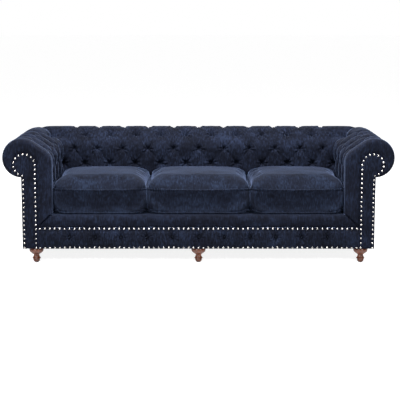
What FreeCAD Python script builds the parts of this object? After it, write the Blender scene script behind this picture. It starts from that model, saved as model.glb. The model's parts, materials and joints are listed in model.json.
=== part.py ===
import FreeCAD, Part
import math
import os
import re

import Sketcher

# A three-seat sofa with rolled, deep-buttoned arms and back, loose seat cushions and turned feet.
# Millimetres, +Z up, +X to the sitter's left (the viewer's right), the front faces -Y.
# The origin is on the floor, under the middle of the overall box.

sizes = [
    ("overallWidth", 2440, "across the outsides of both arm rolls"),
    ("overallDepth", 960, "front of the edge roll to the back of the back roll"),
    ("overallHeight", 787, "floor to the top of the rolls"),
    ("rollRadius", 120, "outside of the arm and back rolls"),
    ("rollHollow", 77, "radius of the space inside each roll"),
    ("sectionDepth", 305, "inner face to outermost point of an arm or the back"),
    ("padThickness", 43, "stuffing on the inner faces"),
    ("shoulderRun", 69, "roll centre to the top of the sloping shoulder"),
    ("shoulderDrop", 22, "drop of the roll's top at the shoulder"),
    ("innerRun", 38, "inner face to the foot of the sloping shoulder"),
    ("innerDrop", 73, "drop from the top to the foot of the shoulder"),
    ("innerRadius", 90, "round between the shoulder and the inner face"),
    ("innerBend", 147, "drop from the top to where the inner face turns upright"),
    ("hollowRun", 44, "roll centre to where the hollow's slope meets its round"),
    ("hollowRise", 63, "height of that point over the roll centre"),
    ("railBottom", 95, "floor to the underside of the seat rails"),
    ("railTop", 215, "floor to the top of the seat rails"),
    ("railThickness", 24, "seat rails"),
    ("padBottom", 226, "lower edge of the inner arm and back padding"),
    ("panelThickness", 12, "outside panels and arm facings"),
    ("panelTop", 551, "upper edge of the outside panels"),
    ("borderTop", 231, "top of the front border and foot of the edge roll"),
    ("borderThickness", 17, "padded front border"),
    ("deckTop", 312, "seat deck and top of the edge roll"),
    ("bandBack", 80, "front of the sofa to the back of the plain arm bands"),
    ("bandRecess", 6, "front of the sofa to the front of the bands"),
    ("edgeRollFace", 10, "bulge of the edge roll's front"),
    ("edgeRollRadius", 87, "round of the edge roll's front"),
    ("nailHeight", 3, "domed nail heads"),
    ("nailRadius", 5.75, "domed nail heads"),
    ("nailPitch", 31, "spacing along the straight rows"),
    ("facingNailPitch", 29, "spacing up the arm facings"),
    ("nailInset", 8, "nail row to the edge of its panel"),
    ("scrollAcross", 1085.5, "middle of the sofa to the centre of the facing's scroll"),
    ("scrollHeight", 626, "floor to the centre of the scroll"),
    ("scrollRadius", 75, "outside of the scroll"),
    ("boardInset", 2, "facing board inside its facing"),
    ("boardThickness", 24, "facing boards, battens"),
    ("ribThickness", 22, "upright ribs of the arms and back"),
    ("webThickness", 2, "webbing"),
    ("webWidth", 50, "webbing"),
    ("battenLow", 262, "foot of the tack rails"),
    ("battenTall", 50, "tack rails"),
    ("upperBattenLow", 595, "foot of the upper battens"),
    ("upperBattenTall", 40, "upper battens"),
    ("topRailHalf", 42, "half the width of the top rails"),
    ("topRailLow", 640, "underside of the top rails"),
    ("topRailTall", 32, "top rails"),
    ("cushionBottom", 313, "floor to the underside of a seat cushion"),
    ("cushionEdge", 466, "floor to the upper welt of a seat cushion"),
    ("cushionCrown", 540, "floor to the crown of a seat cushion"),
    ("cushionFront", 25, "front of the sofa to the front of a seat cushion"),
    ("cushionGap", 2, "each seat cushion to its neighbours"),
    ("centreCushion", 643, "width of the middle seat cushion"),
    ("coreInset", 32, "foam core inside the cushion's wrap"),
    ("legAcross", 1025, "middle of the sofa to the outer legs"),
    ("legInset", 57, "front of the sofa to the front legs' centres"),
    ("legRear", 60, "outside back to the rear legs' centres"),
    ("legTopRadius", 39, "foot where it meets the rail"),
    ("bunRadius", 45, "widest part of the bun"),
    ("bunHeight", 79, "floor to the widest part of the bun"),
    ("neckRadius", 18, "narrow neck under the bun"),
    ("neckHeight", 48, "floor to the neck"),
    ("ringRadius", 27, "sharp ring under the neck"),
    ("ringHeight", 27, "floor to the ring"),
    ("ballRadius", 20.5, "ball under the ring"),
    ("ballHeight", 13, "floor to the widest part of the ball"),
    ("glideHeight", 4, "glide under the foot"),
    ("boltRadius", 4, "hanger bolt"),
    ("boltDepth", 37, "bolt hole in the foot"),
    ("buttonRadius", 11, "covered buttons"),
    ("buttonHeight", 6, "covered buttons"),
    ("tuftDepth", 14, "how far a button's seat lies under the padding"),
    ("backPitch", 175, "spacing of the back's buttons"),
    ("armPitch", 165, "spacing of the arms' buttons"),
    ("backEndColumn", 851, "middle of the sofa to the back's last column of buttons"),
    ("armFirstColumn", -235.5, "foremost whole column of buttons on the arms"),
    ("borderPitch", 162, "spacing of the front border's buttons"),
    ("springPitch", 206.25, "spacing of the seat springs"),
    ("springBars", 17, "bars across each seat spring"),
    ("springHalf", 38, "half the width of a seat spring"),
]

doc = FreeCAD.newDocument("Sofa")
sheet = doc.addObject("Spreadsheet::Sheet", "Sizes")
for row, (alias, number, meaning) in enumerate(sizes, start=1):
    sheet.set("A%d" % row, meaning)
    sheet.set("B%d" % row, str(number))
    sheet.setAlias("B%d" % row, alias)
doc.recompute()
aliases = {alias for alias, number, meaning in sizes}
nodes = []
right = 1
left = -1
sides = {"left": left, "right": right}


def inSheet(text):
    """The expression with each alias written as a reference to the sheet."""
    def refer(found):
        word = found.group(0)
        return "Sizes." + word if word in aliases else word
    return re.sub(r"[A-Za-z]\w*", refer, str(text))


def value(text):
    return float(sheet.evalExpression(inSheet(text)))


def bind(thing, target, text):
    thing.setExpression(target, inSheet(text))


def keep(thing, label):
    """Name a finished sub-part and put it on the list that is written out."""
    thing.Label = label
    nodes.append(thing)
    return thing


def box(name, xLow, xHigh, yLow, yHigh, zLow, zHigh):
    piece = doc.addObject("Part::Box", name)
    bind(piece, "Length", "(%s) - (%s)" % (xHigh, xLow))
    bind(piece, "Width", "(%s) - (%s)" % (yHigh, yLow))
    bind(piece, "Height", "(%s) - (%s)" % (zHigh, zLow))
    bind(piece, "Placement.Base.x", xLow)
    bind(piece, "Placement.Base.y", yLow)
    bind(piece, "Placement.Base.z", zLow)
    return piece


def sideBox(name, side, xNear, xFar, yLow, yHigh, zLow, zHigh):
    """A box given by its distances from the middle of the sofa, on one side of it."""
    if side == right:
        return box(name, xNear, xFar, yLow, yHigh, zLow, zHigh)
    return box(name, "-(%s)" % xFar, "-(%s)" % xNear, yLow, yHigh, zLow, zHigh)


def group(label, pieces):
    together = doc.addObject("Part::Compound", label)
    together.Links = pieces
    return keep(together, label)


def planeOf(body, role):
    return [plane for plane in body.Origin.OriginFeatures if plane.Role == role][0]


def arcBetween(start, end, radius, turn):
    """The short arc from start to end. turn 1 curves left of the way from start to end, -1 right."""
    middle = (start + end) * 0.5
    chord = end - start
    rise = math.sqrt(max(radius ** 2 - (chord.Length / 2) ** 2, 0))
    across = FreeCAD.Vector(-chord.y, chord.x, 0).normalize()
    centre = middle + across * rise * turn
    begin = math.atan2(start.y - centre.y, start.x - centre.x)
    finish = math.atan2(end.y - centre.y, end.x - centre.x)
    circle = Part.Circle(centre, FreeCAD.Vector(0, 0, 1), radius)
    if turn > 0:
        return Part.ArcOfCircle(circle, begin, finish)
    return Part.ArcOfCircle(circle, finish, begin)


def outline(body, role, corners):
    """A closed sketch on one of the body's planes.

    Each corner is (across, up) for a straight run to the next corner, or
    (across, up, radius, turn) for an arc to it.
    """
    sketch = body.newObject("Sketcher::SketchObject", "Outline")
    sketch.AttachmentSupport = [(planeOf(body, role), "")]
    sketch.MapMode = "FlatFace"
    points = [FreeCAD.Vector(value(corner[0]), value(corner[1]), 0) for corner in corners]
    startPoint = []
    endPoint = []
    for place, corner in enumerate(corners):
        here = points[place]
        there = points[(place + 1) % len(points)]
        if len(corner) == 2:
            sketch.addGeometry(Part.LineSegment(here, there), False)
        else:
            sketch.addGeometry(arcBetween(here, there, value(corner[2]), corner[3]), False)
        forwards = len(corner) == 2 or corner[3] > 0
        startPoint.append(1 if forwards else 2)
        endPoint.append(2 if forwards else 1)
    for place, corner in enumerate(corners):
        before = (place - 1) % len(corners)
        joint = Sketcher.Constraint("Coincident", before, endPoint[before], place, startPoint[place])
        sketch.addConstraint(joint)
        for kind, text, size in (("DistanceX", corner[0], points[place].x),
                                 ("DistanceY", corner[1], points[place].y)):
            number = sketch.addConstraint(
                Sketcher.Constraint(kind, -1, 1, place, startPoint[place], size))
            bind(sketch, "Constraints[%d]" % number, text)
        if len(corner) == 4:
            number = sketch.addConstraint(Sketcher.Constraint("Radius", place, value(corner[2])))
            bind(sketch, "Constraints[%d]" % number, corner[2])
    return sketch


def pad(name, role, corners, low, high):
    """A body with one outline padded from low to high along the axis across its plane."""
    body = doc.addObject("PartDesign::Body", name)
    sketch = outline(body, role, corners)
    # the XZ plane faces -Y, so its sketch starts at the high end
    start = "-(%s)" % high if role == "XZ_Plane" else low
    bind(sketch, "AttachmentOffset.Base.z", start)
    solid = body.newObject("PartDesign::Pad", "Pad")
    solid.Profile = sketch
    bind(solid, "Length", "(%s) - (%s)" % (high, low))
    return body


def mirrored(side, corners):
    """The corners of the right side's outline, or their mirror image for the left side."""
    if side == right:
        return corners
    flipped = []
    for corner in corners:
        turn = (corner[2], -corner[3]) if len(corner) == 4 else ()
        flipped.append(("-(%s)" % corner[0], corner[1]) + turn)
    return flipped


def cut(label, base, tool):
    result = doc.addObject("Part::Cut", label)
    result.Base = base
    result.Tool = tool
    return keep(result, label)


def common(label, base, tool):
    result = doc.addObject("Part::Common", label)
    result.Base = base
    result.Tool = tool
    return result


def loose(label, shape):
    """A feature whose shape is set here, for pieces made in quantity."""
    piece = doc.addObject("Part::Feature", label)
    piece.Shape = shape
    piece.Placement = FreeCAD.Placement()
    return piece


def scatter(label, shape, places):
    """Copies of a shape made along +Z, each set at a point and turned to face a direction."""
    copies = []
    for point, facing in places:
        turn = FreeCAD.Rotation(FreeCAD.Vector(0, 0, 1), FreeCAD.Vector(*facing))
        copy = shape.copy()
        copy.Placement = FreeCAD.Placement(FreeCAD.Vector(*point), turn)
        copies.append(copy)
    return loose(label, Part.makeCompound(copies))


def along(low, high, pitch):
    """Evenly spaced places from low to high, as near to the pitch as fits."""
    steps = max(1, round((high - low) / pitch))
    return [low + (high - low) * step / steps for step in range(steps + 1)]


# Places that many pieces share, as expressions on the sheet.
front = "-(overallDepth / 2)"
back = "overallDepth / 2"
halfWidth = "overallWidth / 2"
panelX = "(overallWidth / 2 - rollRadius)"
panelY = "(overallDepth / 2 - rollRadius)"
innerX = "(overallWidth / 2 - sectionDepth)"
innerY = "(overallDepth / 2 - sectionDepth)"
rollCentre = "(overallHeight - rollRadius)"
faceY = "(%s + nailHeight)" % front
bandY = "(%s + bandBack)" % front
boardFront = "(%s + panelThickness)" % faceY
boardBack = "(%s + boardThickness)" % boardFront
railFront = "(%s + borderThickness)" % faceY
railBack = "(%s + railThickness)" % railFront
rearRailFront = "(%s - panelThickness - railThickness)" % panelY
rearRailBack = "(%s - panelThickness)" % panelY
sideRailOut = "(%s - panelThickness)" % panelX
sideRailIn = "(%s - railThickness)" % sideRailOut


def paddedSection(panel, outer, inner):
    """Outer outline of a roll, its shoulder and inner face, then back along the hollow."""
    return [
        (panel, "%s - rollRadius" % rollCentre, "rollRadius", 1),
        (outer, rollCentre, "rollRadius", 1),
        (panel, "overallHeight", "rollRadius", 1),
        ("%s - shoulderRun" % panel, "overallHeight - shoulderDrop"),
        ("%s + innerRun" % inner, "overallHeight - innerDrop", "innerRadius", 1),
        (inner, "overallHeight - innerBend"),
        (inner, "padBottom"),
        ("%s + padThickness" % inner, "padBottom"),
        ("%s + padThickness" % inner, "overallHeight - innerBend"),
        ("%s - hollowRun" % panel, "%s + hollowRise" % rollCentre, "rollHollow", -1),
        (panel, "%s + rollHollow" % rollCentre, "rollHollow", -1),
        ("%s + rollHollow" % panel, rollCentre, "rollHollow", -1),
        (panel, "%s - rollHollow" % rollCentre),
    ]


def scrollOutline(inset, outerEdge, low):
    """A facing: an upright strip that opens into a round scroll at the top."""
    radius = "(scrollRadius - %s)" % inset
    meets = "scrollHeight - sqrt(%s ^ 2 - (%s - scrollAcross) ^ 2)" % (radius, outerEdge)
    return [
        ("scrollAcross - %s" % radius, low),
        (outerEdge, low),
        (outerEdge, meets, radius, 1),
        ("scrollAcross + %s" % radius, "scrollHeight", radius, 1),
        ("scrollAcross", "scrollHeight + %s" % radius, radius, 1),
        ("scrollAcross - %s" % radius, "scrollHeight"),
    ]


def bandOutline():
    """The plain band round a facing, from the roll's underside to its mitre with the edge roll."""
    outside = paddedSection(panelX, halfWidth, innerX)[:6]
    scroll = scrollOutline("0", panelX, "borderTop")
    edge = scroll[0][0]
    reversedScroll = [
        (edge, "borderTop"),
        (edge, "scrollHeight", "scrollRadius", -1),
        ("scrollAcross", "scrollHeight + scrollRadius", "scrollRadius", -1),
        ("scrollAcross + scrollRadius", "scrollHeight", "scrollRadius", -1),
        (panelX, scroll[2][1]),
    ]
    return outside + [(innerX, "deckTop")] + reversedScroll


def tuftPlaces(columns, place):
    """Button seats: columns alternate from row to row, so that they form diamonds."""
    spots = []
    for row, height in enumerate(tuftRows):
        for column in columns[row % 2]:
            spots.append(place(column, height))
    return spots


slopeRise = value("innerDrop - shoulderDrop")
slopeRun = value("%s - shoulderRun - %s - innerRun" % (panelX, innerX))
slopeLength = math.hypot(slopeRise, slopeRun)
slopeMiddle = value("overallHeight - (innerDrop + shoulderDrop) / 2")
slopeInset = value("innerRun") + slopeRun / 2
rollTop = value("overallHeight")
tuftRows = [rollTop, slopeMiddle, 650, 550, 450]


def onSection(height):
    """Distance behind the inner face, and the outward direction, of a button at this height."""
    if height == rollTop:
        return value("sectionDepth - rollRadius"), (0, 1)
    if height == slopeMiddle:
        return slopeInset, (-slopeRise / slopeLength, slopeRun / slopeLength)
    return 0, (-1, 0)


def onBack(across, height):
    behind, (ahead, up) = onSection(height)
    return (across, value(innerY) + behind, height), (0, ahead, up)


def onArm(side):
    def place(along, height):
        behind, (ahead, up) = onSection(height)
        return (side * (value(innerX) + behind), along, height), (side * ahead, 0, up)
    return place


def domeShape(reach, rise):
    """The cap of a sphere, over a flat back."""
    ball = (reach ** 2 + rise ** 2) / (2 * rise)
    sphere = Part.makeSphere(ball, FreeCAD.Vector(0, 0, rise - ball))
    corner = FreeCAD.Vector(-2 * reach, -2 * reach, 0)
    return sphere.common(Part.makeBox(4 * reach, 4 * reach, 2 * rise, corner))


def buttonShape():
    dome = domeShape(value("buttonRadius"), value("buttonHeight"))
    dome.translate(FreeCAD.Vector(0, 0, -value("tuftDepth")))
    return Part.makeCompound([dome])


def seatShape():
    """The pocket that a button sits in, a little wider than the button."""
    clearance = 2
    hole = Part.makeCylinder(value("buttonRadius") + clearance, value("tuftDepth") + clearance)
    hole.translate(FreeCAD.Vector(0, 0, -value("tuftDepth")))
    return Part.makeCompound([hole])


def makeSeatFrame():
    boardEdge = "(scrollAcross - scrollRadius + boardInset)"
    keep(box("front_seat_rail", "-" + boardEdge, boardEdge, railFront, railBack,
             "railBottom", "railTop"), "front_seat_rail")
    keep(box("rear_seat_rail", "-%s" % sideRailOut, sideRailOut, rearRailFront, rearRailBack,
             "railBottom", "railTop"), "rear_seat_rail")
    for name, side in sides.items():
        label = name + "_seat_rail"
        keep(sideBox(label, side, sideRailIn, sideRailOut, boardBack, rearRailFront,
                     "railBottom", "railTop"), label)
    stretchers = []
    for across in (-600, -200, 200, 600):
        stretchers.append(box("Stretcher", across - 20, across + 20, railBack, rearRailFront,
                              "railBottom + 15", "railTop - 40"))
    group("seat_stretchers", stretchers)
    blocks = []
    for side in sides.values():
        for yCorner, sign in ((railBack, 1), (rearRailFront, -1)):
            corners = [(sideRailIn, yCorner),
                       ("%s - 70" % sideRailIn, yCorner),
                       (sideRailIn, "%s + %d" % (yCorner, 70 * sign))]
            blocks.append(pad("CornerBlock", "XY_Plane", mirrored(side, corners),
                              "railTop - 60", "railTop - 20"))
    group("corner_blocks", blocks)


legProfile = [
    ("0", "glideHeight"),
    ("12", "glideHeight", "12", 1),
    ("ballRadius", "ballHeight", "12", 1),
    ("ballRadius - 1.5", "ballHeight + 9"),
    ("ringRadius - 1", "ringHeight - 2"),
    ("ringRadius", "ringHeight"),
    ("ringRadius - 1", "ringHeight + 2", "30", -1),
    ("neckRadius", "neckHeight", "6", -1),
    ("neckRadius + 2", "neckHeight + 5", "60", 1),
    ("bunRadius - 7", "bunHeight - 13", "16", 1),
    ("bunRadius", "bunHeight", "18", 1),
    ("legTopRadius", "railBottom"),
    ("boltRadius", "railBottom"),
    ("boltRadius", "railBottom - boltDepth"),
    ("0", "railBottom - boltDepth"),
]


def legPlaces():
    spots = {}
    rows = {"front": front + " + legInset", "rear": panelY + " - legRear"}
    columns = {"left": "-legAcross", "centre": "0", "right": "legAcross"}
    for rowName, y in rows.items():
        for columnName, x in columns.items():
            spots[rowName + "_" + columnName] = (x, y)
    return spots


def makeLegs():
    blockHalf = 37
    blockTall = 40
    blocks = []
    for name, (x, y) in legPlaces().items():
        label = name + "_leg"
        leg = doc.addObject("PartDesign::Body", label)
        sketch = outline(leg, "XZ_Plane", legProfile)
        turning = leg.newObject("PartDesign::Revolution", "Turning")
        turning.Profile = sketch
        turning.ReferenceAxis = (sketch, ["V_Axis"])
        turning.Angle = 360
        bind(leg, "Placement.Base.x", x)
        bind(leg, "Placement.Base.y", y)
        keep(leg, label)
        if name.startswith("front"):
            ends = (railBack, "%s + 84" % railBack)
        else:
            ends = ("%s - 84" % rearRailFront, rearRailFront)
        solid = box("LegBlock", "%s - %d" % (x, blockHalf), "%s + %d" % (x, blockHalf),
                    ends[0], ends[1], "railBottom", "railBottom + %d" % blockTall)
        blocks.append(solid)
    doc.recompute()
    spots = [(value(x), value(y)) for x, y in legPlaces().values()]
    base = value("railBottom")
    barrel = 5.5
    flange = 12
    flangeTall = 1.5
    barrelTall = 13
    boltRadius = value("boltRadius")
    bores = []
    for x, y in spots:
        bores.append(Part.makeCylinder(barrel, blockTall, FreeCAD.Vector(x, y, base)))
        bores.append(Part.makeCylinder(flange, flangeTall, FreeCAD.Vector(x, y, base)))
    holes = loose("LegBlockHoles", Part.makeCompound(bores[0:1]).fuse(bores[1:]))
    blank = doc.addObject("Part::Compound", "LegBlockBlanks")
    blank.Links = blocks
    cut("leg_blocks", blank, holes)
    boltLength = 70
    boltEnd = 2 - value("boltDepth")
    bolt = Part.makeCylinder(boltRadius, boltLength, FreeCAD.Vector(0, 0, boltEnd))
    plate = Part.makeCylinder(flange, flangeTall)
    sleeve = Part.makeCylinder(barrel, barrelTall, FreeCAD.Vector(0, 0, 0))
    nut = plate.fuse(sleeve).cut(Part.makeCylinder(boltRadius, barrelTall))
    glide = Part.makeCylinder(12, value("glideHeight"), FreeCAD.Vector(0, 0, -base))
    glideRim = [edge for edge in glide.Edges if edge.BoundBox.ZMax < 1 - base]
    glide = glide.makeFillet(1, glideRim)
    upright = (0, 0, 1)
    places = [((x, y, base), upright) for x, y in spots]
    keep(scatter("leg_bolts", Part.makeCompound([bolt]), places), "leg_bolts")
    keep(scatter("leg_t_nuts", Part.makeCompound([nut]), places), "leg_t_nuts")
    keep(scatter("leg_glides", Part.makeCompound([glide]), places), "leg_glides")


def makeArmFrames():
    battens = []
    straps = []
    inner = "(%s + padThickness)" % innerX
    battenIn = "(%s + webThickness)" % inner
    ribIn = "(%s + boardThickness)" % battenIn
    rearEnd = "(%s + padThickness + webThickness)" % innerY
    for name, side in sides.items():
        board = pad(name + "_facing_board", "XZ_Plane",
                    mirrored(side, scrollOutline("boardInset", sideRailOut, "railBottom")),
                    boardFront, boardBack)
        keep(board, name + "_facing_board")
        ribs = []
        for y in (-389, -10, 300):
            ribs.append(sideBox("ArmRib", side, ribIn, sideRailOut,
                                "%d - ribThickness / 2" % y, "%d + ribThickness / 2" % y,
                                "railTop", "topRailLow"))
        group(name + "_arm_ribs", ribs)
        label = name + "_arm_top_rail"
        keep(sideBox(label, side, "%s - topRailHalf" % panelX, "%s + topRailHalf" % panelX,
                     boardBack, "%s - topRailHalf" % panelY, "topRailLow",
                     "topRailLow + topRailTall"), label)
        for low, tall in (("battenLow", "battenTall"), ("upperBattenLow", "upperBattenTall")):
            battens.append(sideBox("ArmBatten", side, battenIn, ribIn, bandY, rearEnd,
                                   low, "%s + %s" % (low, tall)))
        for y in along(-360, 120, 120):
            straps.append(sideBox("ArmStrap", side, inner, battenIn, "%g - webWidth / 2" % y,
                                  "%g + webWidth / 2" % y, "battenLow",
                                  "upperBattenLow + upperBattenTall"))
    group("arm_battens", battens)
    group("arm_webbing", straps)


def makeBackFrame():
    inner = "(%s + padThickness)" % innerY
    battenIn = "(%s + webThickness)" % inner
    ribIn = "(%s + boardThickness)" % battenIn
    halfBatten = "(%s + padThickness)" % innerX
    ribs = []
    for x in (-950, -515.6, -309.4, 309.4, 515.6, 950):
        ribs.append(box("BackRib", "%g - ribThickness / 2" % x, "%g + ribThickness / 2" % x,
                        ribIn, rearRailBack, "railTop", "topRailLow"))
    group("back_ribs", ribs)
    keep(box("back_top_rail", "-(%s + topRailHalf)" % panelX, "%s + topRailHalf" % panelX,
             "%s - topRailHalf" % panelY, "%s + topRailHalf" % panelY, "topRailLow",
             "topRailLow + topRailTall"), "back_top_rail")
    battens = []
    for low, tall in (("battenLow", "battenTall"), ("upperBattenLow", "upperBattenTall")):
        battens.append(box("BackBatten", "-" + halfBatten, halfBatten, battenIn, ribIn,
                           low, "%s + %s" % (low, tall)))
    group("back_battens", battens)
    straps = []
    for x in along(-880, 880, 160):
        straps.append(box("BackStrap", "%g - webWidth / 2" % x, "%g + webWidth / 2" % x,
                          inner, battenIn, "battenLow", "upperBattenLow + upperBattenTall"))
    group("back_webbing", straps)


def springPath(start, end, height, halfSwing, bars):
    """A sinuous spring: bars across, joined in turn by half-round bends at either side."""
    step = (end - start) / (bars - 1)
    bend = step / 2
    reach = halfSwing - bend
    edges = []
    for bar in range(bars):
        y = start + bar * step
        way = 1 if bar % 2 == 0 else -1
        edges.append(Part.makeLine((-way * reach, y, height), (way * reach, y, height)))
        if bar < bars - 1:
            bow = (way * (reach + bend), y + bend, height)
            arc = Part.Arc(FreeCAD.Vector(way * reach, y, height), FreeCAD.Vector(*bow),
                           FreeCAD.Vector(way * reach, y + step, height))
            edges.append(arc.toShape())
    return Part.Wire(edges)


def makeSuspension():
    wire = 2
    height = value("railTop") + 5
    start = value(railFront) + value("railThickness") / 2
    end = value(rearRailFront) + value("railThickness") / 2
    path = springPath(start, end, height, value("springHalf"), round(value("springBars")))
    first = path.Vertexes[0].Point
    circle = Part.makeCircle(wire, first, FreeCAD.Vector(1, 0, 0))
    spring = path.makePipeShell([Part.Wire([circle])], True, False)
    reach = 4 * value("springPitch")
    columns = along(-reach, reach, value("springPitch"))
    springs = [((x, 0, 0), (0, 0, 1)) for x in columns]
    keep(scatter("seat_springs", Part.makeCompound([spring]), springs), "seat_springs")
    clipHalf = 10
    clipBody = Part.makeBox(2 * clipHalf, 18, 9, FreeCAD.Vector(-clipHalf, -9, -5))
    groove = Part.makeCylinder(wire, 2 * clipHalf, FreeCAD.Vector(-clipHalf, 0, 0),
                               FreeCAD.Vector(1, 0, 0))
    clip = clipBody.cut(groove)
    ends = [((x, y, height), (0, 0, 1)) for x in columns for y in (start, end)]
    keep(scatter("spring_clips", Part.makeCompound([clip]), ends), "spring_clips")
    tieRadius = 1.5
    reach = value(sideRailIn)
    ties = []
    for y in (-250, -90, 70):
        ties.append(Part.makeCylinder(tieRadius, 2 * reach,
                                      FreeCAD.Vector(-reach, y, height + wire + tieRadius),
                                      FreeCAD.Vector(1, 0, 0)))
    keep(loose("spring_tie_wires", Part.makeCompound(ties)), "spring_tie_wires")
    keep(box("seat_deck", "-%s" % innerX, innerX, bandY, innerY, "padBottom", "deckTop"),
         "seat_deck")


def makeUpholstery():
    corner = "2000"
    button = buttonShape()
    seat = seatShape()
    firstColumn = value("armFirstColumn")
    pitch = value("armPitch")
    armWhole = [firstColumn + step * pitch for step in range(3)]
    armHalf = [column - pitch / 2 for column in armWhole]
    pitch = value("backPitch")
    half = [(step + 0.5) * pitch for step in range(-5, 5)]
    endColumn = value("backEndColumn")
    whole = [-endColumn] + [step * pitch for step in range(-4, 5)] + [endColumn]
    for name, side in sides.items():
        arm = pad("ArmBlank", "XZ_Plane", mirrored(side, paddedSection(panelX, halfWidth, innerX)),
                  bandY, back)
        behind = [(innerX, innerY),
                  (halfWidth, back),
                  (halfWidth, "%s + 100" % back),
                  ("%s - 100" % innerX, "%s + 100" % back),
                  ("%s - 100" % innerX, innerY)]
        wedge = pad("ArmMitre", "XY_Plane", mirrored(side, behind), "0", corner)
        spots = tuftPlaces([armWhole, armHalf], onArm(side))
        pockets = scatter("ArmPockets", seat, spots)
        mitred = doc.addObject("Part::Cut", "ArmMitred")
        mitred.Base = arm
        mitred.Tool = wedge
        cut(name + "_arm_upholstery", mitred, pockets)
        keep(scatter(name + "_arm_buttons", button, spots), name + "_arm_buttons")
        band = pad(name + "_arm_front_band", "XZ_Plane", mirrored(side, bandOutline()),
                   "%s + bandRecess" % front, bandY)
        keep(band, name + "_arm_front_band")
        facing = pad(name + "_arm_facing", "XZ_Plane",
                     mirrored(side, scrollOutline("0", panelX, "railBottom")), faceY, boardFront)
        keep(facing, name + "_arm_facing")
        label = name + "_outside_arm"
        keep(sideBox(label, side, sideRailOut, panelX, boardFront, rearRailBack,
                     "railBottom", "panelTop"), label)
    blank = pad("BackBlank", "YZ_Plane", paddedSection(panelY, back, innerY),
                "-%s" % halfWidth, halfWidth)
    mitres = []
    for side in sides.values():
        beside = [(innerX, innerY),
                  (innerX, "%s - 100" % innerY),
                  ("%s + 100" % halfWidth, "%s - 100" % innerY),
                  ("%s + 100" % halfWidth, back),
                  (halfWidth, back)]
        mitres.append(pad("BackMitre", "XY_Plane", mirrored(side, beside), "0", corner))
    wedges = doc.addObject("Part::Compound", "BackMitres")
    wedges.Links = mitres
    trimmed = doc.addObject("Part::Cut", "BackMitred")
    trimmed.Base = blank
    trimmed.Tool = wedges
    spots = tuftPlaces([whole, half], onBack)
    cut("back_upholstery", trimmed, scatter("BackPockets", seat, spots))
    keep(scatter("back_buttons", button, spots), "back_buttons")
    keep(box("outside_back", "-%s" % panelX, panelX, rearRailBack, panelY, "railBottom",
             "panelTop"), "outside_back")


def makeFront():
    stripEdge = "(scrollAcross - scrollRadius)"
    section = [(bandY, "borderTop"),
               (bandY, "deckTop"),
               ("%s + edgeRollFace" % front, "deckTop", "edgeRollRadius", 1),
               ("%s + edgeRollFace" % front, "borderTop")]
    roll = pad("EdgeRollSection", "YZ_Plane", section, "-" + stripEdge, stripEdge)
    face = [("-" + stripEdge, "borderTop"),
            (stripEdge, "borderTop"),
            (innerX, "deckTop"),
            ("-" + innerX, "deckTop")]
    mitred = pad("EdgeRollFace", "XZ_Plane", face, "%s - 10" % front, bandY)
    keep(common("front_edge_roll", roll, mitred), "front_edge_roll")
    sheetFront = box("BorderBlank", "-" + stripEdge, stripEdge, faceY, railFront,
                     "railBottom", "borderTop")
    middle = value("(railBottom + borderTop) / 2")
    surface = value(faceY)
    pitch = value("borderPitch")
    shallow = value("tuftDepth") / 2
    spots = [((step * pitch, surface + shallow, middle), (0, -1, 0)) for step in range(-5, 6)]
    seats = []
    for (x, y, z), facing in spots:
        seats.append(((x, y - shallow, z), facing))
    seatDepth = value("tuftDepth") - shallow
    hole = Part.makeCylinder(value("buttonRadius") + 2, seatDepth + 2)
    hole.translate(FreeCAD.Vector(0, 0, -seatDepth))
    cut("front_border", sheetFront, scatter("BorderPockets", Part.makeCompound([hole]), seats))
    disc = buttonShape()
    disc.translate(FreeCAD.Vector(0, 0, value("tuftDepth")))
    keep(scatter("border_buttons", Part.makeCompound([disc]), spots), "border_buttons")


def makeNails():
    nail = Part.makeCompound([domeShape(value("nailRadius"), value("nailHeight"))])
    inset = value("nailInset")
    low = value("railBottom") + inset
    faceFront = value(faceY)
    ahead = (0, -1, 0)
    edge = value("scrollAcross - scrollRadius")
    outer = value(panelX)
    ring = value("scrollRadius") - inset
    scrollX = value("scrollAcross")
    scrollZ = value("scrollHeight")
    pitch = value("facingNailPitch")
    for name, side in sides.items():
        spots = [(edge + inset, z) for z in along(low, scrollZ, pitch)]
        endTurn = -math.acos((outer - inset + 4 - scrollX) / ring)
        sweep = math.pi - endTurn
        count = round(ring * sweep / pitch)
        for step in range(1, count + 1):
            angle = math.pi - sweep * step / count
            spots.append((scrollX + ring * math.cos(angle), scrollZ + ring * math.sin(angle)))
        top = spots[-1][1] - pitch
        spots.extend((outer - inset, z) for z in along(low, top, pitch))
        places = [((side * x, faceFront, z), ahead) for x, z in spots]
        label = name + "_facing_nails"
        keep(scatter(label, nail, places), label)
    rowPitch = value("nailPitch")
    reach = edge - inset * 2
    lines = [((x, faceFront, value("borderTop") - inset), ahead)
             for x in along(-reach, reach, rowPitch)]
    lines += [((x, faceFront, low), ahead) for x in along(-reach, reach, rowPitch)]
    keep(scatter("front_nails", nail, lines), "front_nails")
    behind = value(panelY)
    start = value(boardFront) + inset
    outside = []
    for side in sides.values():
        outside += [((side * outer, y, low), (side, 0, 0))
                    for y in along(start, value(rearRailBack) - inset, rowPitch)]
    outside += [((x, behind, low), (0, 1, 0))
                for x in along(inset - outer, outer - inset, rowPitch)]
    keep(scatter("outside_nails", nail, outside), "outside_nails")


def makeDustCover():
    thickness = 1.2
    sheetFlat = box("DustCoverBlank", "-" + panelX, panelX, boardFront, rearRailBack,
                    "railBottom - %g" % thickness, "railBottom")
    doc.recompute()
    holes = []
    legTop = value("bunRadius")
    for x, y in legPlaces().values():
        centre = FreeCAD.Vector(value(x), value(y), 0)
        holes.append(Part.makeCylinder(legTop, value("railTop"), centre))
    cut("dust_cover", sheetFlat, loose("DustCoverHoles", Part.makeCompound(holes)))


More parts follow.
